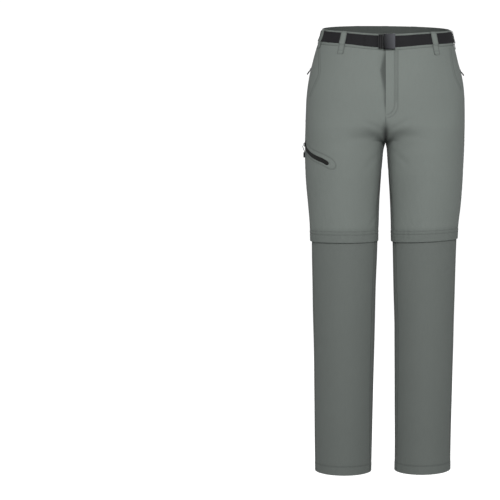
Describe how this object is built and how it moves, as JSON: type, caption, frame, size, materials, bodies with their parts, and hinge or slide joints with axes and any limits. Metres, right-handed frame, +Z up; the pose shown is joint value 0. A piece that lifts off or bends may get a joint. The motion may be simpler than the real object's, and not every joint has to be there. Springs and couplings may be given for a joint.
{
  "type": "convertible zip-off trousers",
  "caption": "Filled-out zip-off hiking trousers with a webbing belt and plate buckle, knee zips under flaps, zipped hand and thigh pockets, and an open waist and hems.",
  "frame": {"origin": "middle of the waist opening at half the waistband's height, where the wearer's waist holds the trousers", "axes": "+Z up along the body, -Y out of the front, +X towards the wearer's left"},
  "size_m": [0.3875, 0.2605, 1.0759],
  "materials": {
    "cloth": "fine plain weave, matt with a slight sheen",
    "webbing": "ribbed woven webbing",
    "zip": "zip tape with a coil",
    "plate": "dark satin",
    "black_metal": "satin",
    "black_plastic": "moulded, matt",
    "ring": "satin"
  },
  "bodies": {
    "garment": {"upper_front_right": "cloth", "upper_front_left": "cloth", "upper_back_right": "cloth", "upper_back_left": "cloth", "lower_front_right": "cloth", "lower_front_left": "cloth", "lower_back_right": "cloth", "lower_back_left": "cloth", "waistband_front_right": "cloth", "waistband_front_left": "cloth", "waistband_back": "cloth", "belt_loop_front_left": "cloth", "belt_loop_front_right": "cloth", "belt_loop_side_left": "cloth", "belt_loop_side_right": "cloth", "belt_loop_back_left": "cloth", "belt_loop_back_centre": "cloth", "belt_loop_back_right": "cloth", "fly_facing": "cloth", "fly_zip": "zip", "belt_webbing": "webbing", "belt_turned_end": "webbing", "buckle_plate": "plate", "buckle_receiver": "black_plastic", "hand_pocket_zip_right": "zip", "hand_pocket_zip_left": "zip", "hand_pocket_slider_right": "black_metal", "hand_pocket_slider_left": "black_metal", "thigh_pocket_zip": "zip", "thigh_pocket_slider": "black_metal", "knee_zip_right": "zip", "knee_zip_left": "zip"},
    "hand_pull_right": {"hand_pocket_pull_right": "black_plastic"},
    "hand_pull_left": {"hand_pocket_pull_left": "black_plastic"},
    "thigh_pull": {"thigh_pull_ring": "ring", "thigh_pull_cord": "webbing", "thigh_pull_tip": "black_plastic"}
  },
  "joints": [
    {"name": "hand_pull_right_swing", "type": "hinge", "parent": "garment", "child": "hand_pull_right", "pos_m": [-0.17955, 0.03276, -0.07496], "axis": [0.1852, 0.9827, 0], "range_deg": [-18, 148]},
    {"name": "hand_pull_left_swing", "type": "hinge", "parent": "garment", "child": "hand_pull_left", "pos_m": [0.17735, 0.03293, -0.08205], "axis": [0.1783, -0.984, 0], "range_deg": [-18, 148]},
    {"name": "thigh_pull_swing", "type": "hinge", "parent": "garment", "child": "thigh_pull", "pos_m": [-0.19334, -0.01761, -0.25601], "axis": [-0.1948, 0.9808, 0], "range_deg": [0, 130]}
  ]
}
